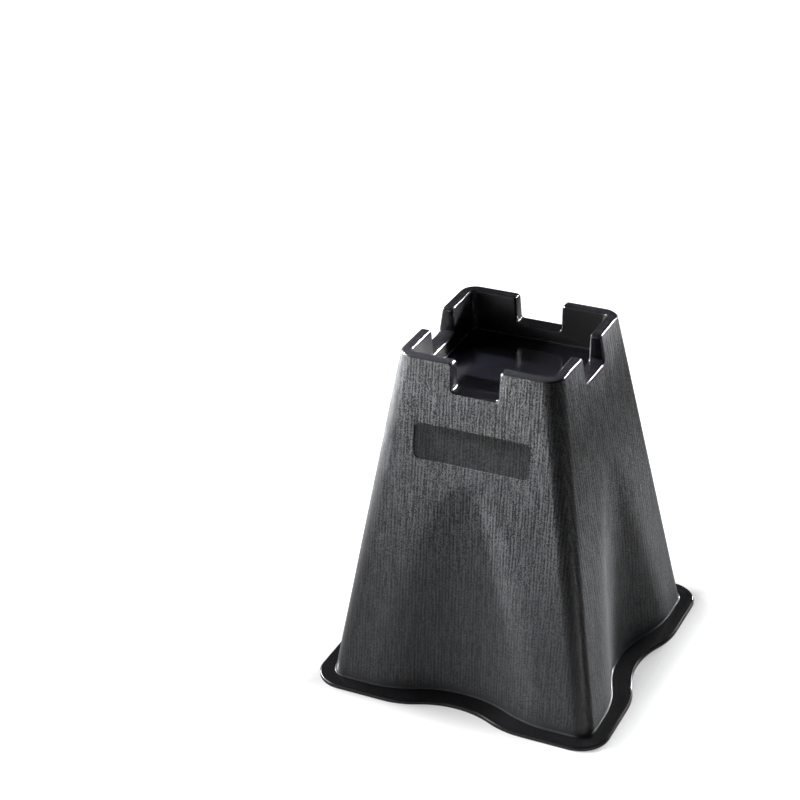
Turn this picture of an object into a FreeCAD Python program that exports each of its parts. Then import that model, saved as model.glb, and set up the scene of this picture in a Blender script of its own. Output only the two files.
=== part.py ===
"""Bed riser: one moulded, tapered shell with a square cup on top for a furniture leg.

Sizes are in millimetres. The origin is the middle of the face that rests on the floor, +Z is up,
and the face with the bare panel looks along -Y.
"""
import FreeCAD, Part
import os

from FreeCAD import Placement, Rotation, Vector
from Sketcher import Constraint

PARTS_FOLDER = "parts"
NEAR = 1e-3
SQUARE = 1 - 1e-6

# Driving sizes, in millimetres, and one angle in degrees
HEIGHT = 159.0            # overall height
CUP_DEPTH = 19.0          # depth of the cup floor below the top
RIM_SPAN = 75.0           # width over the rim
FOOT_SPAN = 140.0         # width over the foot
FOOT_MARGIN = 6.8         # how far the foot stands out beyond the walls
CORNER_RADIUS = 7.6       # rounding of the upright corners
WALL = 2.0                # thickness of the shell
RIM_THICK = 5.0           # thickness of the rim at its top
CUP_DRAFT = 2.5           # lean of the cup walls in degrees
CUP_CORNER = 2.6          # rounding of the cup's upright corners
CUP_ROOT = 1.0            # rounding where the cup floor meets its walls
FLOOR_THICK = 4.0         # thickness of the cup floor
NOTCH_WIDTH = 21.6        # width of a rim notch
NOTCH_DEPTH = 12.6        # depth of a rim notch
NOTCH_ROOT = 1.6          # rounding at the bottom corners of a notch
NOTCH_CROWN = 1.8         # rounding at the top corners of a notch
RIM_EDGE = 0.8            # bevel of the edges of rim and notches
FLUTE_DEPTH = 9.7         # depth of a flute at the ground
FLUTE_STOP = 53.0         # how far below the top a flute runs out
FLUTE_RADIUS = 54.0       # radius of a flute
FLUTE_BLEND = 48.0        # rounding of the sides of a flute
FOOT_THICK = 2.0          # thickness of the foot
FOOT_CORNER = 14.0        # corner radius of the foot
BAY_DEPTH = 7.4           # depth of a bay in the side of the foot
BAY_RADIUS = 41.0         # radius of a bay
BAY_BLEND = 37.0          # rounding of the sides of a bay
FOOT_EDGE = 0.7           # bevel of the foot's upper edge
PANEL_WIDTH = 54.0        # width of the panel
PANEL_HEIGHT = 16.5       # height of the panel along the wall
PANEL_DROP = 37.0         # distance of the middle of the panel below the top
PANEL_CORNER = 3.0        # corner radius of the panel
PANEL_DEPTH = 0.5         # depth of the panel
RIB_THICK = 2.0           # thickness of a rib under the cup floor
RIB_HEIGHT = 7.0          # height of a rib; with cup and floor it makes the step of a stack
RIB_OFFSET = 16.0         # distance of a rib from the middle

# The sheet's cells: the name that expressions use, and its value
SIZES = {
    "height": HEIGHT,
    "cup_depth": CUP_DEPTH,
    "rim_span": RIM_SPAN,
    "foot_span": FOOT_SPAN,
    "foot_margin": FOOT_MARGIN,
    "corner_radius": CORNER_RADIUS,
    "wall": WALL,
    "rim_thick": RIM_THICK,
    "cup_draft": CUP_DRAFT,
    "cup_corner": CUP_CORNER,
    "cup_root": CUP_ROOT,
    "floor_thick": FLOOR_THICK,
    "notch_width": NOTCH_WIDTH,
    "notch_depth": NOTCH_DEPTH,
    "notch_root": NOTCH_ROOT,
    "notch_crown": NOTCH_CROWN,
    "rim_edge": RIM_EDGE,
    "flute_depth": FLUTE_DEPTH,
    "flute_stop": FLUTE_STOP,
    "flute_radius": FLUTE_RADIUS,
    "flute_blend": FLUTE_BLEND,
    "foot_thick": FOOT_THICK,
    "foot_corner": FOOT_CORNER,
    "bay_depth": BAY_DEPTH,
    "bay_radius": BAY_RADIUS,
    "bay_blend": BAY_BLEND,
    "foot_edge": FOOT_EDGE,
    "panel_width": PANEL_WIDTH,
    "panel_height": PANEL_HEIGHT,
    "panel_drop": PANEL_DROP,
    "panel_corner": PANEL_CORNER,
    "panel_depth": PANEL_DEPTH,
    "rib_thick": RIB_THICK,
    "rib_height": RIB_HEIGHT,
    "rib_offset": RIB_OFFSET,
}

# Expressions that several features share: levels, half the width over the walls at the ground,
# and how far the walls and the bottoms of the flutes lean in
LIFT = "(sizes.height - sizes.cup_depth)"
FLOOR_UNDERSIDE = f"({LIFT} - sizes.floor_thick)"
PANEL_LEVEL = "(sizes.height - sizes.panel_drop)"
WALL_HALF = "(sizes.foot_span / 2 - sizes.foot_margin)"
WALL_LEAN = f"(({WALL_HALF} - sizes.rim_span / 2) / sizes.height)"
FLUTE_LEAN = f"({WALL_LEAN} - sizes.flute_depth / (sizes.height - sizes.flute_stop))"


def make_sheet(doc):
    """The sheet with the driving sizes."""
    sheet = doc.addObject("Spreadsheet::Sheet", "sizes")
    for row, (name, value) in enumerate(SIZES.items(), start=1):
        sheet.set(f"A{row}", name)
        sheet.set(f"B{row}", str(value))
        sheet.setAlias(f"B{row}", name)
    doc.recompute()


def size(doc, name):
    """Value of a driving size."""
    return float(getattr(doc.getObject("sizes"), name))


def value_of(doc, expression):
    """Value of an expression in driving sizes."""
    return float(doc.getObject("sizes").evalExpression(expression))


def origin_feature(body, role):
    """Plane or axis of a body's own origin."""
    return next(feature for feature in body.Origin.OriginFeatures if feature.Role == role)


def new_sketch(body, name, role):
    """Sketch on one of the body's origin planes."""
    sketch = body.newObject("Sketcher::SketchObject", name)
    sketch.AttachmentSupport = [(origin_feature(body, role), "")]
    sketch.MapMode = "FlatFace"
    return sketch


def bind(sketch, kind, name, expression, *references):
    """Adds a named dimension to a sketch and ties it to an expression."""
    value = float(sketch.evalExpression(expression))
    index = sketch.addConstraint(Constraint(kind, *references, value))
    sketch.renameConstraint(index, name)
    sketch.setExpression(f"Constraints.{name}", expression)


def draw_loop(sketch, corners):
    """Closed loop of straight lines through rough corner points."""
    count = len(corners)
    for index in range(count):
        sketch.addGeometry(Part.LineSegment(corners[index], corners[(index + 1) % count]), False)
    for index in range(count):
        sketch.addConstraint(Constraint("Coincident", index, 2, (index + 1) % count, 1))


def draw_rectangle(sketch, width, height, shift=None):
    """Rectangle about the sketch's origin, or about a point shifted along its first axis."""
    draw_loop(sketch, [Vector(-1, -1, 0), Vector(1, -1, 0), Vector(1, 1, 0), Vector(-1, 1, 0)])
    for index in (0, 2):
        sketch.addConstraint(Constraint("Horizontal", index))
    for index in (1, 3):
        sketch.addConstraint(Constraint("Vertical", index))
    if shift is None:
        sketch.addConstraint(Constraint("Symmetric", 0, 1, 2, 1, -1, 1))
    else:
        middle = sketch.addGeometry(Part.Point(Vector(1, 0, 0)), True)
        sketch.addConstraint(Constraint("PointOnObject", middle, 1, -1))
        bind(sketch, "DistanceX", "shift", shift, -1, 1, middle, 1)
        sketch.addConstraint(Constraint("Symmetric", 0, 1, 2, 1, middle, 1))
    bind(sketch, "DistanceX", "width", width, 0, 1, 0, 2)
    bind(sketch, "DistanceY", "height", height, 1, 1, 1, 2)


def edges_where(feature, test):
    """Names of the edges of a feature's shape that pass a test."""
    edges = feature.Shape.Edges
    return [f"Edge{index}" for index, edge in enumerate(edges, start=1) if test(edge)]


def faces_beside(shape, edge):
    """Faces of a shape that share an edge."""
    return shape.ancestorsOfType(edge, Part.Face)


def cylinder_radii(shape, edge):
    """Radii of the cylinders that meet at an edge."""
    surfaces = [face.Surface for face in faces_beside(shape, edge)]
    return [surface.Radius for surface in surfaces if isinstance(surface, Part.Cylinder)]


def rises(edge):
    """Whether an edge leaves its level."""
    return edge.BoundBox.ZLength > NEAR


def is_level(edge, height):
    """Whether an edge lies in the level plane at a height."""
    return not rises(edge) and abs(edge.BoundBox.ZMin - height) < NEAR


def reach(edge):
    """Largest distance of an edge from the middle, along X or Y."""
    box = edge.BoundBox
    return max(abs(box.XMin), abs(box.XMax), abs(box.YMin), abs(box.YMax))


def add_fillet(doc, body, name, base, edges, radius):
    """Fillet on named edges, its radius tied to an expression."""
    fillet = body.newObject("PartDesign::Fillet", name)
    fillet.Base = (base, edges)
    fillet.setExpression("Radius", radius)
    doc.recompute()
    return fillet


def add_bevel(doc, body, name, base, edges, breadth):
    """Bevel on named edges, its size tied to an expression."""
    bevel = body.newObject("PartDesign::Chamfer", name)
    bevel.Base = (base, edges)
    bevel.setExpression("Size", breadth)
    doc.recompute()
    return bevel


def add_pattern(doc, body, name, feature, angle, count):
    """Copies of a feature round the upright axis."""
    pattern = body.newObject("PartDesign::PolarPattern", name)
    pattern.Originals = [feature]
    pattern.Axis = (origin_feature(body, "Z_Axis"), [""])
    pattern.Angle = angle
    pattern.Occurrences = count
    body.Tip = pattern
    doc.recompute()
    return pattern


def add_taper(doc, body, kind, name, spans, levels):
    """Square block or cut that tapers: half its width and its level, at its lower and upper end."""
    taper = body.newObject(f"PartDesign::{kind}Wedge", name)
    taper.AttachmentSupport = [(origin_feature(body, "XZ_Plane"), "")]
    taper.MapMode = "FlatFace"
    low, high = spans
    bounds = {"Ymin": levels[0], "Ymax": levels[1]}
    for across in ("X", "Z"):
        bounds[f"{across}min"] = f"-{low}"
        bounds[f"{across}max"] = low
        bounds[f"{across}2min"] = f"-{high}"
        bounds[f"{across}2max"] = high
    for bound, expression in bounds.items():
        taper.setExpression(bound, expression)
    doc.recompute()
    return taper


def add_fluted_block(doc, body, name, inset, top):
    """Tapered block with rounded corners and a flute in each side.

    The inset is the distance of its surface inside the walls' outer surface.
    """
    low = f"({WALL_HALF} - {inset} / cos(atan({WALL_LEAN})))"
    high = f"({low} - {WALL_LEAN} * {top})"
    block = add_taper(doc, body, "Additive", f"{name}_block", (low, high), ("0", top))
    corners = edges_where(block, rises)
    add_fillet(doc, body, f"{name}_corners", block, corners, f"sizes.corner_radius - {inset}")

    # One flute is a leaning cylinder cut into the side; its bottom line leans less than the wall
    radius = size(doc, "flute_radius")
    foot_end = Vector(-size(doc, "foot_span") / 2, -radius, 0)
    rim_end = Vector(-size(doc, "rim_span") / 2, size(doc, "height"), 0)
    across = Vector(-radius, 0, 0)
    section = new_sketch(body, f"{name}_flute_section", "YZ_Plane")
    draw_loop(section, [foot_end, rim_end, rim_end + across, foot_end + across])
    axis = section.addGeometry(Part.LineSegment(rim_end + across, foot_end + across), True)
    for first, second in ((0, 1), (1, 2), (2, 3)):
        section.addConstraint(Constraint("Perpendicular", first, second))
    section.addConstraint(Constraint("Coincident", axis, 1, 2, 1))
    section.addConstraint(Constraint("Coincident", axis, 2, 2, 2))
    start = f"({WALL_HALF} - sizes.flute_depth - {inset} / cos(atan({FLUTE_LEAN})))"
    bind(section, "DistanceY", "below", "sizes.flute_radius", 0, 1, -1, 1)
    bind(section, "DistanceX", "low_end", f"{start} + {FLUTE_LEAN} * sizes.flute_radius", 0, 1, -1, 1)
    bind(section, "DistanceY", "above", "sizes.height", -1, 1, 0, 2)
    bind(section, "DistanceX", "high_end", f"{start} - {FLUTE_LEAN} * sizes.height", 0, 2, -1, 1)
    bind(section, "Distance", "radius", f"sizes.flute_radius + {inset}", 1)
    flute = body.newObject("PartDesign::Groove", f"{name}_flute")
    flute.Profile = section
    flute.ReferenceAxis = (section, ["Axis0"])
    flute.Angle = 360
    doc.recompute()
    flutes = add_pattern(doc, body, f"{name}_flutes", flute, 360, 4)

    cut_radius = section.getDatum("radius").Value

    def is_flute_side(edge):
        is_cut = any(abs(radius - cut_radius) < NEAR for radius in cylinder_radii(flutes.Shape, edge))
        return is_cut and rises(edge)

    sides = edges_where(flutes, is_flute_side)
    return add_fillet(doc, body, f"{name}_flute_blends", flutes, sides, f"sizes.flute_blend - {inset}")


def add_foot(doc):
    """The thin foot that stands out all round, with a bay in each side."""
    body = doc.addObject("PartDesign::Body", "foot")
    plan = new_sketch(body, "foot_plan", "XY_Plane")
    draw_rectangle(plan, "sizes.foot_span", "sizes.foot_span")
    plate = body.newObject("PartDesign::Pad", "foot_plate")
    plate.Profile = plan
    plate.setExpression("Length", "sizes.foot_thick")
    doc.recompute()
    add_fillet(doc, body, "foot_corners", plate, edges_where(plate, rises), "sizes.foot_corner")

    bay_plan = new_sketch(body, "bay_plan", "XY_Plane")
    bay_radius = size(doc, "bay_radius")
    rough_middle = Vector(0, -bay_radius - size(doc, "foot_span") / 2, 0)
    bay_plan.addGeometry(Part.Circle(rough_middle, Vector(0, 0, 1), bay_radius), False)
    bay_plan.addConstraint(Constraint("PointOnObject", 0, 3, -2))
    bind(bay_plan, "Radius", "radius", "sizes.bay_radius", 0)
    middle = "sizes.foot_span / 2 - sizes.bay_depth + sizes.bay_radius"
    bind(bay_plan, "DistanceY", "middle", middle, 0, 3, -1, 1)
    bay = body.newObject("PartDesign::Pocket", "bay")
    bay.Profile = bay_plan
    bay.Type = "ThroughAll"
    bay.Reversed = True
    doc.recompute()
    bays = add_pattern(doc, body, "bays", bay, 360, 4)

    def is_bay_side(edge):
        is_cut = [abs(radius - bay_radius) < NEAR for radius in cylinder_radii(bays.Shape, edge)]
        return rises(edge) and is_cut == [True]

    blended = add_fillet(doc, body, "bay_blends", bays, edges_where(bays, is_bay_side), "sizes.bay_blend")
    top = size(doc, "foot_thick")
    upper = edges_where(blended, lambda edge: is_level(edge, top))
    add_bevel(doc, body, "foot_bevel", blended, upper, "sizes.foot_edge")
    return body


def combine(doc, body, name, kind, tool):
    """Joins another body to this one, or cuts it out of this one."""
    step = body.newObject("PartDesign::Boolean", name)
    step.Type = kind
    step.setObjects([tool])
    doc.recompute()
    return step


def add_hollow(doc):
    """The space inside the shell, with a slot for each rib that stiffens the cup floor."""
    body = doc.addObject("PartDesign::Body", "hollow")
    add_fluted_block(doc, body, "hollow", "sizes.wall", FLOOR_UNDERSIDE)
    slot_plan = new_sketch(body, "rib_plan", "XY_Plane")
    slot_plan.setExpression("AttachmentOffset.Base.z", FLOOR_UNDERSIDE)
    draw_rectangle(slot_plan, "sizes.rib_thick", "sizes.foot_span", "sizes.rib_offset")
    slot = body.newObject("PartDesign::Pocket", "rib_slot")
    slot.Profile = slot_plan
    slot.setExpression("Length", "sizes.rib_height")
    doc.recompute()
    add_pattern(doc, body, "rib_slots", slot, 360, 4)
    return body


def add_cup(doc, body):
    """The square cup for the leg: leaning walls, rounded corners and a rounded floor edge."""
    high = "(sizes.rim_span / 2 - sizes.rim_thick)"
    low = f"({high} - sizes.cup_depth * tan(1 deg * sizes.cup_draft))"
    cup = add_taper(doc, body, "Subtractive", "cup", (low, high), (LIFT, "sizes.height"))
    widest = size(doc, "rim_span") / 2 - size(doc, "rim_thick") + NEAR
    lift = value_of(doc, LIFT)

    def is_cup_corner(edge):
        return rises(edge) and reach(edge) < widest and edge.BoundBox.ZMin > lift - NEAR

    def is_floor_edge(edge):
        return is_level(edge, lift) and reach(edge) < widest

    corners = edges_where(cup, is_cup_corner)
    rounded = add_fillet(doc, body, "cup_corners", cup, corners, "sizes.cup_corner")

    add_fillet(doc, body, "cup_root", rounded, edges_where(rounded, is_floor_edge), "sizes.cup_root")


def add_notches(doc, body):
    """A notch in the middle of each side of the rim, with rounded corners."""
    profile = new_sketch(body, "notch_profile", "XZ_Plane")
    profile.setExpression("AttachmentOffset.Base.y", "sizes.height")
    draw_rectangle(profile, "sizes.notch_width", "2 * sizes.notch_depth")
    notch = body.newObject("PartDesign::Pocket", "notch")
    notch.Profile = profile
    notch.Type = "ThroughAll"
    notch.Midplane = True
    doc.recompute()
    notches = add_pattern(doc, body, "notches", notch, 90, 2)
    half = size(doc, "notch_width") / 2

    def is_across_wall(edge):
        box = edge.BoundBox
        across_x = abs(abs(box.Center.x) - half) < NEAR and box.XLength < NEAR
        across_y = abs(abs(box.Center.y) - half) < NEAR and box.YLength < NEAR
        return across_x or across_y

    bottom = size(doc, "height") - size(doc, "notch_depth")
    roots = edges_where(notches, lambda edge: is_across_wall(edge) and is_level(edge, bottom))
    rooted = add_fillet(doc, body, "notch_roots", notches, roots, "sizes.notch_root")
    top = size(doc, "height")
    crowns = edges_where(rooted, lambda edge: is_across_wall(edge) and is_level(edge, top))
    return add_fillet(doc, body, "notch_crowns", rooted, crowns, "sizes.notch_crown")


def add_rim_bevel(doc, body, base):
    """Bevels both edges of the rim, all the way through the notches."""
    bottom = size(doc, "height") - size(doc, "notch_depth")

    def is_cut_face(face):
        """Whether a face is square to X, Y or Z, or a rounding along X or Y."""
        surface = face.Surface
        if not isinstance(surface, (Part.Plane, Part.Cylinder)):
            return False
        along = [abs(surface.Axis.x), abs(surface.Axis.y)]
        if isinstance(surface, Part.Plane):
            along.append(abs(surface.Axis.z))
        return max(along) > SQUARE

    def is_rim_edge(edge):
        beside = [is_cut_face(face) for face in faces_beside(base.Shape, edge)]
        return edge.BoundBox.ZMin > bottom - NEAR and sorted(beside) == [False, True]

    add_bevel(doc, body, "rim_bevel", base, edges_where(base, is_rim_edge), "sizes.rim_edge")


def add_panel(doc, body):
    """Shallow bare panel in the front wall, under the notch."""
    plan = new_sketch(body, "panel_plan", "XZ_Plane")
    plan.AttachmentOffset = Placement(Vector(0, 1, 1), Rotation(Vector(1, 0, 0), -5))
    half = f"({WALL_HALF} - {WALL_LEAN} * {PANEL_LEVEL})"
    plan.setExpression("AttachmentOffset.Base.y", PANEL_LEVEL)
    plan.setExpression("AttachmentOffset.Base.z", f"{half} - sizes.panel_depth / cos(atan({WALL_LEAN}))")
    plan.setExpression("AttachmentOffset.Rotation.Angle", f"-atan({WALL_LEAN})")
    draw_rectangle(plan, "sizes.panel_width", "sizes.panel_height")
    panel = body.newObject("PartDesign::Pocket", "panel")
    panel.Profile = plan
    panel.Type = "ThroughAll"
    panel.Reversed = True
    doc.recompute()
    depth = size(doc, "panel_depth")
    level = value_of(doc, PANEL_LEVEL)
    half_height = size(doc, "panel_height") / 2

    def is_panel_corner(edge):
        box = edge.BoundBox
        is_beside_panel = abs(box.Center.z - level) < half_height + depth and box.Center.y < 0
        return abs(edge.Length - depth) < NEAR and is_beside_panel

    corners = edges_where(panel, is_panel_corner)
    add_fillet(doc, body, "panel_corners", panel, corners, "sizes.panel_corner")


def check(doc, part):
    """Stops the build if a feature failed or the part isn't one valid solid."""
    failed = [thing.Name for thing in doc.Objects if {"Invalid", "Error"} & set(thing.State)]
    if failed:
        raise RuntimeError(f"features that failed: {failed}")
    if part.Shape.isNull() or not part.Shape.isValid() or len(part.Shape.Solids) != 1:
        raise RuntimeError(f"{part.Label} isn't one valid solid")


def main():
    """Builds the riser and writes its file."""
    doc = FreeCAD.newDocument("bed_riser")
    make_sheet(doc)
    foot = add_foot(doc)
    hollow = add_hollow(doc)
    riser = doc.addObject("PartDesign::Body", "riser")
    riser.Label = "riser"
    riser.Placement = Placement()
    add_fluted_block(doc, riser, "wall", "0", "sizes.height")
    combine(doc, riser, "with_foot", "Fuse", foot)
    add_cup(doc, riser)
    notched = add_notches(doc, riser)
    add_rim_bevel(doc, riser, notched)
    add_panel(doc, riser)
    combine(doc, riser, "without_hollow", "Cut", hollow)
    check(doc, riser)
    os.makedirs(PARTS_FOLDER, exist_ok=True)
    riser.Shape.exportStep(f"{PARTS_FOLDER}/{riser.Label}.step")


main()
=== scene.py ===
"""Looks of a bed riser: a fluted, grained shell of black plastic with a glossy rim and foot.

Everything is in metres in the CAD frame: the origin is the middle of the face on the floor, +Z is
up, and the wall with the bare panel looks along -Y.
"""
import logging
import math
from dataclasses import dataclass, field
from enum import Enum

import bmesh
import bpy
from mathutils import Matrix, Vector


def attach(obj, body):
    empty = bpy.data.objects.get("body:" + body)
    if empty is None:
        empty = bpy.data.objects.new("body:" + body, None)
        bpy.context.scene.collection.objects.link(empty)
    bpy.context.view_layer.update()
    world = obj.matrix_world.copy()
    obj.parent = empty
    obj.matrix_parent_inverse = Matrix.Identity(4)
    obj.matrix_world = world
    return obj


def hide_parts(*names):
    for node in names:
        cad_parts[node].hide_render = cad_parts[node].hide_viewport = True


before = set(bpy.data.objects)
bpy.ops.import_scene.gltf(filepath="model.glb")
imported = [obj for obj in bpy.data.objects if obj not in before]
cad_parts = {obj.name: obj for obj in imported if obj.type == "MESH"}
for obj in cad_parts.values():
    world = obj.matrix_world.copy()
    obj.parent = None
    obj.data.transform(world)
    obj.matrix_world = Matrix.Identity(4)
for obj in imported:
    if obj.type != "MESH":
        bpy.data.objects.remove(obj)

LOG = logging.getLogger("bed_riser")
MM = 0.001
# Ranges that noise seldom leaves, and hardly ever leaves
MOST_NOISE = (0.3, 0.7)
NEARLY_ALL_NOISE = (0.25, 0.75)

Triple = tuple[float, float, float]
Pair = tuple[float, float]
Socket = bpy.types.NodeSocket


class Region(Enum):
    """Parts of the moulding that have a finish of their own; the value is the material's index."""

    WALL = 0
    GLOSS = 1
    CUP_WALL = 2
    CUP_FLOOR = 3
    FOOT = 4
    PANEL = 5
    INSIDE = 6


class Layer(Enum):
    """Layers of noise in the grain; the value is where in the noise each of them is taken."""

    THREADS = 0.0
    WANDER = 11.0
    SPECKS = 23.0
    STREAKS = 37.0


# ---------------------------------------------------------------- shader helpers


class Graph:
    """A node tree with short ways to add and link nodes."""

    def __init__(self, tree: bpy.types.NodeTree) -> None:
        """Starts on an empty tree.

        Args:
            tree: the tree that the nodes are added to.
        """
        self.tree = tree
        tree.nodes.clear()

    def add(self, kind: str, settings: dict | None = None, **inputs: object) -> bpy.types.Node:
        """Adds a node.

        Args:
            kind: the node's type name.
            settings: properties to set on the node.
            inputs: values or sockets by input name, with _ for a space.

        Returns:
            The new node.
        """
        node = self.tree.nodes.new(kind)
        for name, value in (settings or {}).items():
            setattr(node, name, value)
        for name, value in inputs.items():
            self.feed(self.find(node, name), value)
        return node

    @staticmethod
    def find(node: bpy.types.Node, name: str) -> Socket:
        """Finds an input of a node by its name or its number.

        Args:
            node: the node.
            name: the name with _ for a space, or in0, in1 and so on.

        Returns:
            The input socket.
        """
        if name.startswith("in") and name[2:].isdigit():
            return node.inputs[int(name[2:])]
        return node.inputs[name.replace("_", " ")]

    def feed(self, socket: Socket, value: object) -> None:
        """Links a socket into an input, or sets the input's value.

        Args:
            socket: the input.
            value: an output socket, a node whose first output is meant, or a plain value.
        """
        if isinstance(value, bpy.types.Node):
            value = value.outputs[0]
        if isinstance(value, bpy.types.NodeSocket):
            self.tree.links.new(value, socket)
        else:
            socket.default_value = value

    def math(self, operation: str, *values: object) -> Socket:
        """Adds a math node.

        Args:
            operation: the node's operation.
            values: its inputs in order.

        Returns:
            The result.
        """
        node = self.tree.nodes.new("ShaderNodeMath")
        node.operation = operation
        for socket, value in zip(node.inputs, values):
            self.feed(socket, value)
        return node.outputs[0]

    def unsigned(self, value: object) -> Socket:
        """Takes the sign off a number."""
        return self.math("ABSOLUTE", value)

    def ramp(self, value: object, low: float, high: float, to_low: float = 0.0,
             to_high: float = 1.0) -> Socket:
        """Maps a value smoothly from one range to another, and holds it at the ends.

        Args:
            value: what is mapped.
            low: start of the range it comes from.
            high: end of the range it comes from.
            to_low: result at the start.
            to_high: result at the end.

        Returns:
            The mapped value.
        """
        node = self.tree.nodes.new("ShaderNodeMapRange")
        node.interpolation_type = "SMOOTHSTEP"
        for socket, given in zip(node.inputs, (value, low, high, to_low, to_high)):
            self.feed(socket, given)
        return node.outputs[0]

    def mix(self, factor: object, first: object, second: object) -> Socket:
        """Mixes two numbers.

        Args:
            factor: share of the second.
            first: first number.
            second: second number.

        Returns:
            The mixed number.
        """
        return self.add("ShaderNodeMix", in0=factor, in2=first, in3=second).outputs[0]

    def blend(self, factor: object, first: object, second: object) -> Socket:
        """Mixes two colours.

        Args:
            factor: share of the second.
            first: first colour.
            second: second colour.

        Returns:
            The mixed colour.
        """
        node = self.tree.nodes.new("ShaderNodeMix")
        node.data_type = "RGBA"
        self.feed(node.inputs[0], factor)
        self.feed(node.inputs[6], first)
        self.feed(node.inputs[7], second)
        return node.outputs[2]

    def noise(self, place: object, scale: float, detail: float) -> Socket:
        """Adds noise from 0 to 1 round a half.

        Args:
            place: where in the noise it is taken.
            scale: how many of its features fit in a unit.
            detail: how many finer layers it has.

        Returns:
            The noise.
        """
        node = self.add("ShaderNodeTexNoise", Vector=place, Scale=scale, Detail=detail)
        return node.outputs["Fac"]

    def place(self) -> Socket:
        """Gives the place on the object, in its own coordinates."""
        return self.add("ShaderNodeTexCoord").outputs["Object"]

    def axes(self, place: Socket) -> tuple[Socket, Socket, Socket]:
        """Splits a place into its x, y and z."""
        return tuple(self.add("ShaderNodeSeparateXYZ", in0=place).outputs)


def new_group(name: str, inputs: dict[str, float],
              outputs: tuple[str, ...]) -> tuple[Graph, bpy.types.Node, bpy.types.Node]:
    """Makes a shader node group whose inputs and outputs are all numbers.

    Args:
        name: the group's name.
        inputs: value of each input by its name.
        outputs: names of the outputs.

    Returns:
        The group's graph, the node with its inputs and the node with its outputs.
    """
    tree = bpy.data.node_groups.new(name, "ShaderNodeTree")
    for label, value in inputs.items():
        socket = tree.interface.new_socket(label, in_out="INPUT", socket_type="NodeSocketFloat")
        socket.default_value = value
    for label in outputs:
        tree.interface.new_socket(label, in_out="OUTPUT", socket_type="NodeSocketFloat")
    graph = Graph(tree)
    return graph, graph.add("NodeGroupInput"), graph.add("NodeGroupOutput")


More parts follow.
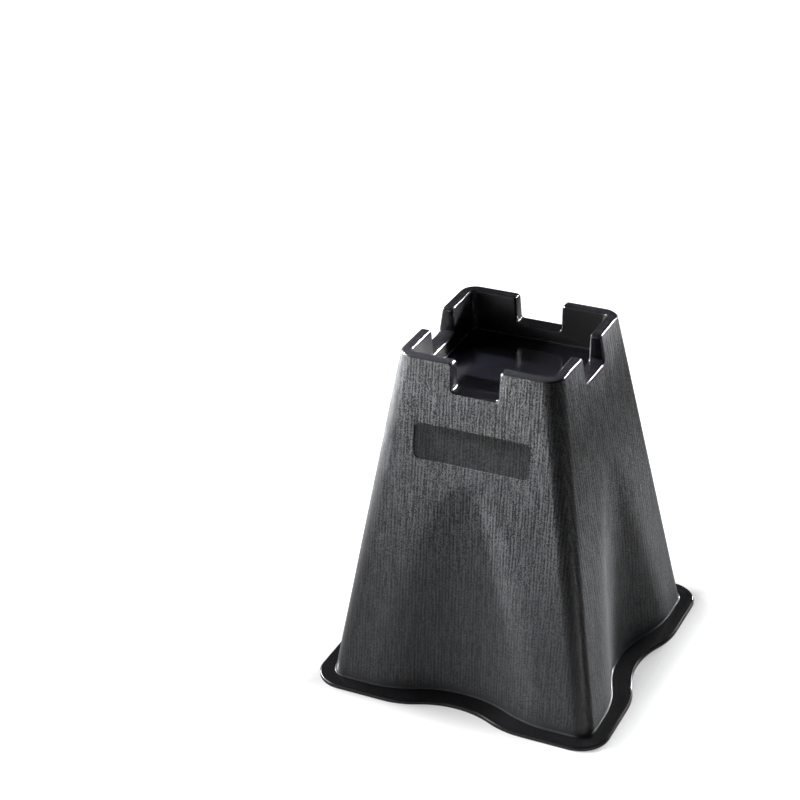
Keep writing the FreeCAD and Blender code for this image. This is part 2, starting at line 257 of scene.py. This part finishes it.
@dataclass(frozen=True)
class Grain:
    """Moulded bark-like grain, upright along each wall: threads, specks along them, and streaks;
    its light tone is partly a painted sheen on the grain's tops.

    Attributes:
        thread_width: width of a thread.
        thread_length: length over which a thread changes.
        speck_width: width of a speck.
        speck_length: length of a speck.
        waviness: how far a thread wanders sideways, as an angle of its wave.
        side_stretch: how many times coarser the grain is on the two side walls.
        line_share: share of the threads' waves in the height.
        thread_share: share of the threads' noise in the height.
        speck_share: share of the specks in the height.
        wander_scale: scale of the wandering across and along a thread.
        streak_scale: scale of the streaks across and along a thread.
        middle: height of the grain at which its dark meets its light.
        front_band: half of the heights between dark and light, on the front and back wall.
        side_band: the same on the two side walls, where it is narrower for a stronger painted
            sheen.
        scuffed: streaks from which a scuff starts and at which it is full.
        scuff_levels: levels on the wall between which the scuffs come in.
        front_shift: how far the front and back wall are in the noise from the other two.
        wall_shift: how far each wall is in the noise from the middle of its pair.
    """

    thread_width: float = 1.45 * MM
    thread_length: float = 9.0 * MM
    speck_width: float = 0.4 * MM
    speck_length: float = 0.55 * MM
    waviness: float = 5.0
    side_stretch: float = 1.5
    line_share: float = 0.12
    thread_share: float = 0.34
    speck_share: float = 0.54
    wander_scale: Pair = (0.35, 0.9)
    streak_scale: Pair = (0.3, 0.2)
    middle: float = 0.51
    front_band: float = 0.14
    side_band: float = 0.11
    scuffed: Pair = (0.5, 0.7)
    scuff_levels: Pair = (118 * MM, 145 * MM)
    front_shift: float = 3.7
    wall_shift: float = 1.3

    def build(self) -> bpy.types.ShaderNodeTree:
        """Makes the node group.

        Returns:
            The group, with outputs Height, Light, Streak and Scuff; Light is partly a painted
            sheen.
        """
        inputs = {
            "Thread Width": self.thread_width,
            "Thread Length": self.thread_length,
            "Speck Width": self.speck_width,
            "Speck Length": self.speck_length,
            "Waviness": self.waviness,
            "Side Stretch": self.side_stretch,
        }
        outputs = ("Height", "Light", "Streak", "Scuff")
        graph, start, end = new_group("moulded_grain", inputs, outputs)
        given = start.outputs
        x, y, z = graph.axes(graph.place())
        # Sideways is x on the front and back wall, and y on the other two
        on_front = graph.math("GREATER_THAN", graph.unsigned(y), graph.unsigned(x))
        sideways = graph.mix(on_front, y, x)
        depth = graph.mix(on_front, x, y)
        pair = graph.math("MULTIPLY", on_front, self.front_shift)
        wall = graph.math("MULTIPLY", graph.math("SIGN", depth), self.wall_shift)
        seed = graph.math("ADD", pair, wall)

        def layer(kind: Layer, u: Socket, v: Socket, detail: float) -> Socket:
            """Takes a layer of noise over the wall."""
            shifted = graph.math("ADD", seed, kind.value)
            return graph.noise(graph.add("ShaderNodeCombineXYZ", X=u, Y=v, Z=shifted), 1.0, detail)

        even = graph.math("DIVIDE", sideways, graph.mix(on_front, given["Side Stretch"], 1.0))
        across = graph.math("DIVIDE", even, given["Thread Width"])
        along = graph.math("DIVIDE", z, given["Thread Length"])
        speck_across = graph.math("DIVIDE", even, given["Speck Width"])
        speck_along = graph.math("DIVIDE", z, given["Speck Length"])

        def scaled(scale: Pair) -> tuple[Socket, Socket]:
            """Scales the place on the wall across and along the threads."""
            return graph.math("MULTIPLY", across, scale[0]), graph.math("MULTIPLY", along, scale[1])

        wander = layer(Layer.WANDER, *scaled(self.wander_scale), 1.0)
        wave = graph.math("MULTIPLY", across, math.tau)
        turn = graph.math("MULTIPLY_ADD", wander, given["Waviness"], wave)
        lines = graph.math("MULTIPLY_ADD", graph.math("SINE", turn), 0.5, 0.5)
        threads = layer(Layer.THREADS, speck_across, along, 0.0)
        specks = layer(Layer.SPECKS, speck_across, speck_along, 0.0)
        height = graph.math("MULTIPLY", lines, self.line_share)
        height = graph.math("MULTIPLY_ADD", threads, self.thread_share, height)
        height = graph.math("MULTIPLY_ADD", specks, self.speck_share, height)
        streak = layer(Layer.STREAKS, *scaled(self.streak_scale), 2.0)
        high_up = graph.ramp(z, *self.scuff_levels)
        band = graph.mix(on_front, self.side_band, self.front_band)
        low = graph.math("SUBTRACT", self.middle, band)
        high = graph.math("ADD", self.middle, band)
        graph.feed(end.inputs["Height"], height)
        # The light tone's share stands partly for a painted sheen on the grain's tops
        graph.feed(end.inputs["Light"], graph.ramp(height, low, high))
        graph.feed(end.inputs["Streak"], graph.ramp(streak, *MOST_NOISE))
        scuff = graph.math("MULTIPLY", graph.ramp(streak, *self.scuffed), high_up)
        graph.feed(end.inputs["Scuff"], scuff)
        return graph.tree


@dataclass(frozen=True)
class UprightCorner:
    """Mask of the rounded upright corners: 0 on the walls and 1 along the middle of a corner.

    Attributes:
        half_span: distance of a wall from the middle at the floor.
        lean: how much nearer the wall comes for each unit of height.
        radius: radius of a corner.
        reach: shares of the radius at which the mask starts and is full.
    """

    half_span: float = 63.2 * MM
    lean: float = 0.1616
    radius: float = 7.6 * MM
    reach: Pair = (-0.25, 0.5)

    def build(self) -> bpy.types.ShaderNodeTree:
        """Makes the node group.

        Returns:
            The group, with output Corner.
        """
        inputs = {"Half Span": self.half_span, "Lean": self.lean, "Radius": self.radius}
        graph, start, end = new_group("upright_corner", inputs, ("Corner",))
        given = start.outputs
        x, y, z = graph.axes(graph.place())
        nearer = graph.math("MINIMUM", graph.unsigned(x), graph.unsigned(y))
        leaned = graph.math("MULTIPLY", z, given["Lean"])
        half = graph.math("SUBTRACT", given["Half Span"], leaned)
        flat = graph.math("SUBTRACT", half, given["Radius"])
        share = graph.math("DIVIDE", graph.math("SUBTRACT", nearer, flat), given["Radius"])
        graph.feed(end.inputs["Corner"], graph.ramp(share, *self.reach))
        return graph.tree


# ---------------------------------------------------------------- finishes


@dataclass(frozen=True)
class GrainAndSheenPlastic:
    """Semi-matte black plastic with the upright moulded grain, smoother round the corners, with
    painted sheen on the grain and painted shade low down and on the corners.

    Attributes:
        name: the material's name.
        dark: colour in the grain's hollows.
        light: colour on top of the grain, partly a painted sheen.
        mean: share of light where the grain has faded out; it is lower than the grain's own, so the
            faded wall low down is a painted shade.
        corner: colour of the upright corners, darker than the walls: a painted shade.
        corner_shade_share: how much of that painted shade the middle of a corner has.
        roughness: roughness of the walls.
        rough_spread: how far it goes up and down in patches.
        corner_roughness: roughness of the upright corners.
        relief: height of the grain.
        corner_relief: share of the grain that is left on the corners.
        specular: strength of the reflection.
        scuff: how much lighter the scuffs are.
        clean_levels: levels between which the grain comes in above the foot.
        shade_levels: levels between which it comes to full contrast; below them the wall is darker
            and fainter, a painted shade towards the bottom.
        faint: its contrast below them, part of that painted shade.
        cloud_scale: scale of the patches.
        patch: level of the darker patches.
        streak: level of the darker streaks.
    """

    name: str
    dark: Triple = (0.009, 0.0095, 0.010)
    light: Triple = (0.150, 0.156, 0.166)
    mean: float = 0.36
    corner: Triple = (0.004, 0.004, 0.005)
    corner_shade_share: float = 0.75
    roughness: float = 0.46
    rough_spread: float = 0.04
    corner_roughness: float = 0.3
    relief: float = 0.4 * MM
    corner_relief: float = 0.35
    specular: float = 0.35
    scuff: float = 0.5
    clean_levels: Pair = (2.5 * MM, 7.0 * MM)
    shade_levels: Pair = (40.0 * MM, 95.0 * MM)
    faint: float = 0.5
    cloud_scale: float = 38.0
    patch: float = 0.92
    streak: float = 0.9

    def build(self, grain: bpy.types.ShaderNodeTree,
              corners: bpy.types.ShaderNodeTree) -> bpy.types.Material:
        """Makes the material.

        Args:
            grain: the grain's node group.
            corners: the node group that finds the upright corners.

        Returns:
            The material.
        """
        material = new_material(self.name)
        graph = Graph(material.node_tree)
        place = graph.place()
        z = graph.axes(place)[2]
        pattern = graph.add("ShaderNodeGroup", {"node_tree": grain}).outputs
        corner = graph.add("ShaderNodeGroup", {"node_tree": corners}).outputs["Corner"]
        cloud = graph.noise(place, self.cloud_scale, 3.0)
        above_foot = graph.ramp(z, *self.clean_levels)
        # Low on the walls the colour fades to the darker mean share: painted shade, darker towards
        # the bottom
        full = graph.ramp(z, *self.shade_levels, self.faint, 1.0)
        contrast = graph.math("MULTIPLY", above_foot, full)
        mark = graph.mix(contrast, self.mean, pattern["Light"])
        patchy = graph.math("MULTIPLY", mark, graph.ramp(cloud, *MOST_NOISE, self.patch, 1.0))
        streaks = graph.ramp(pattern["Streak"], 0.0, 1.0, self.streak, 1.0)
        streaked = graph.math("MULTIPLY", patchy, streaks)
        scuffed = graph.math("MULTIPLY_ADD", pattern["Scuff"], self.scuff, 1.0)
        share = graph.math("MULTIPLY", streaked, scuffed)
        # The grain's light tone is partly a painted sheen on its tops
        grain_and_sheen_colour = graph.blend(share, (*self.dark, 1), (*self.light, 1))
        # The upright corners are darkened in colour: painted shade
        painted_corner_shade = graph.math("MULTIPLY", corner, self.corner_shade_share)
        colour = graph.blend(painted_corner_shade, grain_and_sheen_colour, (*self.corner, 1))
        smooth, coarse = self.roughness - self.rough_spread, self.roughness + self.rough_spread
        uneven = graph.ramp(cloud, *NEARLY_ALL_NOISE, smooth, coarse)
        rough = graph.mix(corner, uneven, self.corner_roughness)
        left = graph.ramp(corner, 0.0, 1.0, 1.0, self.corner_relief)
        strength = graph.math("MULTIPLY", contrast, left)
        bump = graph.add("ShaderNodeBump", Height=pattern["Height"], Distance=self.relief,
                         Strength=strength)
        add_shader(graph, colour, rough, bump, self.specular)
        return material


@dataclass(frozen=True)
class SmoothPlastic:
    """Black plastic without grain, from satin to gloss, with a faint orange-peel unevenness.

    Attributes:
        name: the material's name.
        colour: its darker colour.
        brighter: how many times brighter its lighter patches are.
        roughness: its mean roughness.
        rough_spread: share by which it goes up and down in patches.
        uneven: height of the orange peel.
        speckle: scale of the orange peel.
        cloud_scale: scale of the patches.
        specular: strength of the reflection.
    """

    name: str
    colour: Triple = (0.008, 0.008, 0.009)
    brighter: float = 1.6
    roughness: float = 0.22
    rough_spread: float = 0.15
    uneven: float = 0.02 * MM
    speckle: float = 600.0
    cloud_scale: float = 45.0
    specular: float = 0.5

    def build(self) -> bpy.types.Material:
        """Makes the material.

        Returns:
            The material.
        """
        material = new_material(self.name)
        graph = Graph(material.node_tree)
        place = graph.place()
        cloud = graph.noise(place, self.cloud_scale, 3.0)
        fine = graph.noise(place, self.speckle, 2.0)
        light = tuple(channel * self.brighter for channel in self.colour)
        colour = graph.blend(graph.ramp(cloud, *MOST_NOISE), (*self.colour, 1), (*light, 1))
        smooth = self.roughness * (1 - self.rough_spread)
        coarse = self.roughness * (1 + self.rough_spread)
        rough = graph.ramp(cloud, *NEARLY_ALL_NOISE, smooth, coarse)
        bump = graph.add("ShaderNodeBump", Height=fine, Distance=self.uneven)
        add_shader(graph, colour, rough, bump, self.specular)
        return material


def new_material(name: str) -> bpy.types.Material:
    """Makes an empty material with nodes.

    Args:
        name: its name.

    Returns:
        The material.
    """
    material = bpy.data.materials.new(name)
    material.use_nodes = True
    return material


def add_shader(graph: Graph, colour: Socket, rough: Socket, bump: bpy.types.Node,
               specular: float) -> None:
    """Ends a material with its shader and its output.

    Args:
        graph: the material's graph.
        colour: base colour.
        rough: roughness.
        bump: the node that bends the normal.
        specular: strength of the reflection.
    """
    shader = graph.add("ShaderNodeBsdfPrincipled", Base_Color=colour, Roughness=rough, Normal=bump)
    shader.inputs["Specular IOR Level"].default_value = specular
    graph.add("ShaderNodeOutputMaterial", Surface=shader)


def make_finishes() -> list[bpy.types.Material]:
    """Makes the material of each region.

    Returns:
        The materials, in the order of Region.
    """
    grain, corners = Grain().build(), UprightCorner().build()
    black, blacker, blackest = (0.005, 0.005, 0.006), (0.004, 0.004, 0.005), (0.002, 0.002, 0.003)
    # The panel's lighter grain tone is partly a painted sheen, weaker than on the walls
    panel_grain_and_sheen = (0.058, 0.061, 0.065)
    wall = GrainAndSheenPlastic("grained_wall_and_sheen")
    rim = SmoothPlastic("glossy_rim", blacker, roughness=0.2)
    cup = SmoothPlastic("satin_cup", black, roughness=0.36, uneven=0.05 * MM, speckle=1600.0)
    cup_floor = SmoothPlastic("glossy_cup_floor", blackest, roughness=0.12, specular=0.35)
    foot = SmoothPlastic("glossy_foot", roughness=0.2)
    panel = GrainAndSheenPlastic("bare_panel", light=panel_grain_and_sheen, relief=0.12 * MM, scuff=0.0)
    inside = SmoothPlastic("satin_inside", roughness=0.4)
    by_region = {
        Region.WALL: wall.build(grain, corners),
        Region.GLOSS: rim.build(),
        Region.CUP_WALL: cup.build(),
        Region.CUP_FLOOR: cup_floor.build(),
        Region.FOOT: foot.build(),
        Region.PANEL: panel.build(grain, corners),
        Region.INSIDE: inside.build(),
    }
    return [by_region[region] for region in Region]


# ---------------------------------------------------------------- the moulding


@dataclass
class Moulding:
    """The riser's one moulded shell, from the CAD solid, with a finish for each region.

    Attributes:
        height: height of the riser.
        lift: level of the cup's floor.
        rim_span: width of the rim.
        wall_span: width of the walls at the floor, without the foot.
        notch_bottom: level of the bottom of a notch.
        rim_edge: size of the rim's bevel.
        foot_top: level of the foot's top.
        panel_level: level of the middle of the panel.
        panel_half: half of the panel's width and height.
        panel_depth: depth of the panel.
        panel_share: shares of that depth between which a face is on the panel's floor.
        cup_margin: least distance of the cup's floor from the outside of the rim.
        floor_facing: least z in the normal of the cup's floor.
        cup_facing: greatest outward part in the normal of the cup's wall.
        wall_facing: least part away from the middle in the normal of an outer wall.
        wall_rise: greatest z in the normal of an outer wall.
        edge_facing: least outward part in it at the level of the notches, where the bevels are.
        slack: how far a face may be from where it is looked for.
        weld: distance under which two vertices are one.
        crease_angle: angle from which an edge is sharp.
        finishes: the materials, in the order of Region.
    """

    height: float = 159.0 * MM
    lift: float = 140.0 * MM
    rim_span: float = 75.0 * MM
    wall_span: float = 126.4 * MM
    notch_bottom: float = 146.4 * MM
    rim_edge: float = 0.8 * MM
    foot_top: float = 2.0 * MM
    panel_level: float = 122.0 * MM
    panel_half: Pair = (27.0 * MM, 8.25 * MM)
    panel_depth: float = 0.5 * MM
    panel_share: Pair = (0.3, 1.5)
    cup_margin: float = 3.0 * MM
    floor_facing: float = 0.9
    cup_facing: float = -0.8
    wall_facing: float = 0.45
    wall_rise: float = 0.5
    edge_facing: float = 0.97
    slack: float = 0.05 * MM
    weld: float = 0.002 * MM
    crease_angle: float = math.radians(50)
    finishes: list[bpy.types.Material] = field(default_factory=list)

    def wall_reach(self, z: float) -> float:
        """Distance of the flat part of the outer wall from the middle at a height."""
        return self.wall_span / 2 - (self.wall_span - self.rim_span) / 2 * z / self.height

    def in_panel(self, middle: Vector) -> bool:
        """Tells whether a place is on the panel's floor.

        Args:
            middle: the place.

        Returns:
            True on the panel's floor.
        """
        if middle.y >= 0 or abs(middle.y) <= abs(middle.x):
            return False
        in_width = abs(middle.x) < self.panel_half[0] + self.slack
        in_height = abs(middle.z - self.panel_level) < self.panel_half[1] + self.slack
        share = (self.wall_reach(middle.z) - abs(middle.y)) / self.panel_depth
        return in_width and in_height and self.panel_share[0] < share < self.panel_share[1]

    def region(self, face: bmesh.types.BMFace) -> Region:
        """Finds which region a face belongs to.

        Args:
            face: a face of the merged copy.

        Returns:
            Its region.
        """
        middle, normal = face.calc_center_median(), face.normal
        away = Vector((middle.x, middle.y, 0)).normalized().dot(normal)
        sideways = Vector((math.copysign(1, middle.x), 0, 0))
        if abs(middle.y) > abs(middle.x):
            sideways = Vector((0, math.copysign(1, middle.y), 0))
        outward = normal.dot(sideways)
        reach = max(abs(middle.x), abs(middle.y))
        if middle.z < self.foot_top + self.slack:
            return Region.FOOT
        level = abs(middle.z - self.lift) < self.slack and normal.z > self.floor_facing
        if level and reach < self.rim_span / 2 - self.cup_margin:
            return Region.CUP_FLOOR
        if middle.z > self.lift - self.slack and outward < self.cup_facing:
            return Region.CUP_WALL
        if self.in_panel(middle):
            return Region.PANEL
        if away > self.wall_facing and normal.z < self.wall_rise:
            if middle.z < self.notch_bottom - self.rim_edge or outward > self.edge_facing:
                return Region.WALL
        if middle.z > self.lift + self.slack:
            return Region.GLOSS
        return Region.INSIDE

    def build(self, source: bpy.types.Object) -> bpy.types.Object:
        """Copies the CAD solid, merges it, sorts its faces and smooths its shading.

        Args:
            source: the CAD node.

        Returns:
            The finished piece.
        """
        mesh = source.data.copy()
        mesh.name = "riser_shell"
        mesh.materials.clear()
        for material in self.finishes:
            mesh.materials.append(material)
        shape = bmesh.new()
        shape.from_mesh(mesh)
        bmesh.ops.remove_doubles(shape, verts=shape.verts, dist=self.weld)
        shape.normal_update()
        for face in shape.faces:
            face.material_index = self.region(face).value
            face.smooth = True
        shape.to_mesh(mesh)
        shape.free()
        # The normals that came with the file belong to the mesh before it was merged
        if "custom_normal" in mesh.attributes:
            mesh.attributes.remove(mesh.attributes["custom_normal"])
        mesh.set_sharp_from_angle(angle=self.crease_angle)
        piece = bpy.data.objects.new("riser_shell", mesh)
        bpy.context.scene.collection.objects.link(piece)
        weigh = piece.modifiers.new("weigh", "WEIGHTED_NORMAL")
        weigh.keep_sharp = True
        # The highest weight lets the large faces alone set the shading of the walls
        weigh.weight = 100
        return bake_modifiers(piece)


@dataclass
class FootBead:
    """The small rounding in the crease between the wall and the foot, swept along the crease.

    Attributes:
        finish: its material.
        radius: radius of the bead.
        sides: sides of its section.
        level: level of the crease.
        slack: how far an edge of the crease may be from that level.
    """

    finish: bpy.types.Material
    radius: float = 0.55 * MM
    sides: int = 8
    level: float = 2.0 * MM
    slack: float = 0.05 * MM

    def in_crease(self, edge: bmesh.types.BMEdge) -> bool:
        """Tells whether an edge lies in the crease.

        Args:
            edge: an edge of the moulding.

        Returns:
            True where the wall meets the foot's top.
        """
        regions = {face.material_index for face in edge.link_faces}
        on_level = all(abs(vert.co.z - self.level) < self.slack for vert in edge.verts)
        return on_level and regions == {Region.WALL.value, Region.FOOT.value}

    def crease(self, shell: bpy.types.Object) -> bpy.types.Object:
        """Takes the closed loop of edges between the wall and the foot's top.

        Args:
            shell: the finished moulding.

        Returns:
            An object with only that loop.
        """
        shape = bmesh.new()
        shape.from_mesh(shell.data)
        loop = [edge for edge in shape.edges if self.in_crease(edge)]
        kept = {vert.index: vert.co.copy() for edge in loop for vert in edge.verts}
        order = {index: place for place, index in enumerate(sorted(kept))}
        points = [kept[index] for index in sorted(kept)]
        edges = [tuple(order[vert.index] for vert in edge.verts) for edge in loop]
        shape.free()
        mesh = bpy.data.meshes.new("foot_bead")
        mesh.from_pydata(points, edges, [])
        thing = bpy.data.objects.new("foot_bead", mesh)
        bpy.context.scene.collection.objects.link(thing)
        return thing

    def tree(self) -> bpy.types.GeometryNodeTree:
        """Makes the nodes that sweep a ring along the loop.

        Returns:
            The node tree, with inputs Radius, Sides and Finish.
        """
        tree = bpy.data.node_groups.new("bead_on_a_path", "GeometryNodeTree")
        inputs = {"Geometry": "Geometry", "Radius": "Float", "Sides": "Int", "Finish": "Material"}
        for name, kind in inputs.items():
            tree.interface.new_socket(name, in_out="INPUT", socket_type=f"NodeSocket{kind}")
        tree.interface.new_socket("Geometry", in_out="OUTPUT", socket_type="NodeSocketGeometry")
        graph = Graph(tree)
        given = graph.add("NodeGroupInput").outputs
        path = graph.add("GeometryNodeMeshToCurve", Mesh=given["Geometry"])
        ring = graph.add("GeometryNodeCurvePrimitiveCircle", Radius=given["Radius"],
                         Resolution=given["Sides"])
        swept = graph.add("GeometryNodeCurveToMesh", Curve=path, Profile_Curve=ring)
        smooth = graph.add("GeometryNodeSetShadeSmooth", Geometry=swept)
        plain = graph.add("GeometryNodeRealizeInstances", Geometry=smooth)
        painted = graph.add("GeometryNodeSetMaterial", Geometry=plain, Material=given["Finish"])
        graph.add("NodeGroupOutput", Geometry=painted)
        return tree

    def build(self, shell: bpy.types.Object) -> bpy.types.Object:
        """Makes the bead.

        Args:
            shell: the finished moulding.

        Returns:
            The finished piece.
        """
        piece = self.crease(shell)
        tree = self.tree()
        sweep = piece.modifiers.new("sweep", "NODES")
        sweep.node_group = tree
        values = {"Radius": self.radius, "Sides": self.sides, "Finish": self.finish}
        for item in tree.interface.items_tree:
            if item.name in values:
                sweep[item.identifier] = values[item.name]
        return bake_modifiers(piece)


def bake_modifiers(piece: bpy.types.Object) -> bpy.types.Object:
    """Turns a piece with modifiers into a plain mesh.

    Args:
        piece: the object.

    Returns:
        The same object, with its result as its mesh and no modifiers.
    """
    graph = bpy.context.evaluated_depsgraph_get()
    graph.update()
    done = piece.evaluated_get(graph)
    result = bpy.data.meshes.new_from_object(done, preserve_all_data_layers=True, depsgraph=graph)
    piece.modifiers.clear()
    piece.data = result
    return piece


# ---------------------------------------------------------------- studio


@dataclass(frozen=True)
class SoftBox:
    """A rectangular soft light that looks at the object.

    Attributes:
        name: its name.
        place: where it is.
        size: its width and height.
        power: its power in watts.
        target: what it looks at.
        spread: opening angle of its beam in degrees; 180 is a plain soft light.
    """

    name: str
    place: Triple
    size: Pair
    power: float
    target: Triple = (0.0, 0.0, 0.08)
    spread: float = 180.0

    def build(self) -> bpy.types.Object:
        """Makes the light.

        Returns:
            The light's object.
        """
        lamp = bpy.data.lights.new(self.name, "AREA")
        lamp.shape = "RECTANGLE"
        lamp.size, lamp.size_y = self.size
        lamp.energy = self.power
        lamp.spread = math.radians(self.spread)
        thing = bpy.data.objects.new(self.name, lamp)
        thing.location = self.place
        direction = Vector(self.target) - Vector(self.place)
        thing.rotation_euler = direction.to_track_quat("-Z", "Y").to_euler()
        thing.visible_camera = False
        bpy.context.scene.collection.objects.link(thing)
        return thing


@dataclass
class Studio:
    """Camera, floor, world and lights.

    Attributes:
        camera_place: where the camera is.
        azimuth: how far it is round to the right of the front, in degrees.
        elevation: how far it looks down, in degrees.
        roll: how far it is turned about its own line of sight, in degrees.
        focal_pixels: its focal length in pixels of the picture.
        sensor: width of its sensor in millimetres.
        image: width of the picture in pixels.
        floor_half: half of the floor's width.
        floor_colour: the floor's colour as the lights see it.
        floor_roughness: its roughness.
        floor_white: how bright the floor looks right beside the foot.
        shade_reach: distances from the middle between which it comes to full white.
        floor_in_gloss: how bright the floor looks in the gloss, near and far to the left.
        gloss_reach: the x at which the far level ends and the near one starts.
        world_light: how bright the world is as a light.
        lights: the lights.
    """

    camera_place: Triple = (0.31865, -0.75356, 0.56613)
    azimuth: float = 26.3416
    elevation: float = 28.2724
    roll: float = -1.6727
    focal_pixels: float = 2106.229
    sensor: float = 36.0
    image: float = 800.0
    floor_half: float = 6.0
    floor_colour: Triple = (0.5, 0.5, 0.5)
    floor_roughness: float = 0.9
    floor_white: float = 0.36
    shade_reach: Pair = (0.064, 0.089)
    floor_in_gloss: Pair = (0.08, 1.0)
    gloss_reach: Pair = (-0.7, -0.3)
    world_light: float = 0.03
    # Each beam lights one place: the top of the front wall, the rim's edges and the right flute
    lights: tuple[SoftBox, ...] = (
        SoftBox("left_box", (-1.254, -0.336, 0.604), (1.0, 1.0), 20.0),
        SoftBox("left_low_box", (-0.975, 0.172, 0.219), (0.5, 0.3), 22.0),
        SoftBox("front_low_box", (-0.404, -1.110, 0.288), (0.6, 0.3), 1.1),
        SoftBox("upper_beam", (-0.795, 0.0, 0.503), (0.1, 0.1), 0.95, (-0.09, -0.04, 0.187), 12.0),
        SoftBox("edge_box", (0.569, 0.947, 0.549), (0.16, 0.16), 1.5),
        SoftBox("rim_beam", (0.474, 0.789, 0.471), (0.04, 0.04), 0.13, (0.0, 0.0, 0.179), 6.0),
        SoftBox("flute_beam", (0.241, 0.967, 0.167), (0.1, 0.1), 0.14, (0.065, -0.03, 0.035), 8.0),
        SoftBox("back_high_box", (0.0, 0.9, 1.152), (1.0, 1.0), 0.3),
    )

    def build_camera(self) -> bpy.types.Object:
        """Makes the camera at the photograph's angle.

        Returns:
            The camera's object.
        """
        angles = (self.azimuth, self.elevation, self.roll)
        azimuth, elevation, roll = (math.radians(angle) for angle in angles)
        level = math.cos(elevation)
        forward = Vector((
            -math.sin(azimuth) * level, math.cos(azimuth) * level, -math.sin(elevation)
        ))
        right = forward.cross(Vector((0, 0, 1))).normalized()
        up = right.cross(forward)
        turned_right = right * math.cos(roll) + up * math.sin(roll)
        turned_up = up * math.cos(roll) - right * math.sin(roll)
        lens = bpy.data.cameras.new("camera")
        lens.sensor_width = self.sensor
        lens.lens = self.focal_pixels * self.sensor / self.image
        lens.clip_start = 0.01
        thing = bpy.data.objects.new("camera", lens)
        turn = Matrix((turned_right, turned_up, -forward)).transposed().to_4x4()
        thing.matrix_world = Matrix.Translation(self.camera_place) @ turn
        bpy.context.scene.collection.objects.link(thing)
        bpy.context.scene.camera = thing
        return thing

    @staticmethod
    def seen(graph: Graph) -> tuple[Socket, bpy.types.Node]:
        """Finds what the camera sees directly.

        Args:
            graph: the graph of the floor's or the world's shader.

        Returns:
            A mask of that, and the Light Path node.
        """
        path = graph.add("ShaderNodeLightPath")
        rays = (path.outputs["Is Camera Ray"], path.outputs["Is Transmission Ray"])
        return graph.math("MAXIMUM", *rays), path

    def floor_material(self) -> bpy.types.Material:
        """Makes the floor's material, white to the camera and pale to the light.

        Returns:
            The material.
        """
        material = new_material("pale_floor")
        graph = Graph(material.node_tree)
        seen, path = self.seen(graph)
        x, y, _ = graph.axes(graph.place())
        # Beside the foot the floor is a little less than white, so that the shadow shows there
        out = graph.math("MAXIMUM", graph.unsigned(x), graph.unsigned(y))
        level = graph.ramp(out, *self.shade_reach, self.floor_white, 1.0)
        near, far = self.floor_in_gloss
        gloss = graph.ramp(x, *self.gloss_reach, far, near)
        in_gloss = graph.math("MULTIPLY", path.outputs["Is Glossy Ray"], gloss)
        white = graph.math("MAXIMUM", graph.math("MULTIPLY", seen, level), in_gloss)
        shader = graph.add("ShaderNodeBsdfPrincipled", Base_Color=(*self.floor_colour, 1),
                           Roughness=self.floor_roughness, Emission_Strength=white)
        shader.inputs["Specular IOR Level"].default_value = 0.0
        shader.inputs["Emission Color"].default_value = (1, 1, 1, 1)
        graph.add("ShaderNodeOutputMaterial", Surface=shader)
        return material

    def build_floor(self) -> bpy.types.Object:
        """Makes the pale floor, which shows white but keeps the object's shadow.

        Returns:
            The floor's object.
        """
        half = self.floor_half
        corners = [(-half, -half, 0), (half, -half, 0), (half, half, 0), (-half, half, 0)]
        mesh = bpy.data.meshes.new("floor")
        mesh.from_pydata(corners, [], [(0, 1, 2, 3)])
        mesh.materials.append(self.floor_material())
        thing = bpy.data.objects.new("floor", mesh)
        bpy.context.scene.collection.objects.link(thing)
        return thing

    def build_world(self) -> None:
        """Makes the world: white where it is seen, and dim as a light."""
        world = bpy.data.worlds.new("studio")
        bpy.context.scene.world = world
        world.use_nodes = True
        graph = Graph(world.node_tree)
        strength = graph.ramp(self.seen(graph)[0], 0.0, 1.0, self.world_light, 1.0)
        shade = graph.add("ShaderNodeBackground", Color=(1, 1, 1, 1), Strength=strength)
        graph.add("ShaderNodeOutputWorld", Surface=shade)

    def build(self) -> None:
        """Makes all of the studio."""
        self.build_camera()
        self.build_floor()
        self.build_world()
        for box in self.lights:
            box.build()
        bpy.context.scene.view_settings.view_transform = "Standard"


def main() -> None:
    """Builds the studio and the riser, and reports each piece."""
    logging.basicConfig(level=logging.INFO, format="%(message)s")
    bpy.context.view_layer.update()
    Studio().build()
    moulding = Moulding(finishes=make_finishes())
    shell = moulding.build(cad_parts["riser"])
    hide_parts("riser")
    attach(shell, "root")
    bead = FootBead(moulding.finishes[Region.WALL.value]).build(shell)
    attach(bead, "root")
    for piece in (shell, bead):
        LOG.info("%s: %d faces", piece.name, len(piece.data.polygons))


if __name__ == "__main__":
    main()
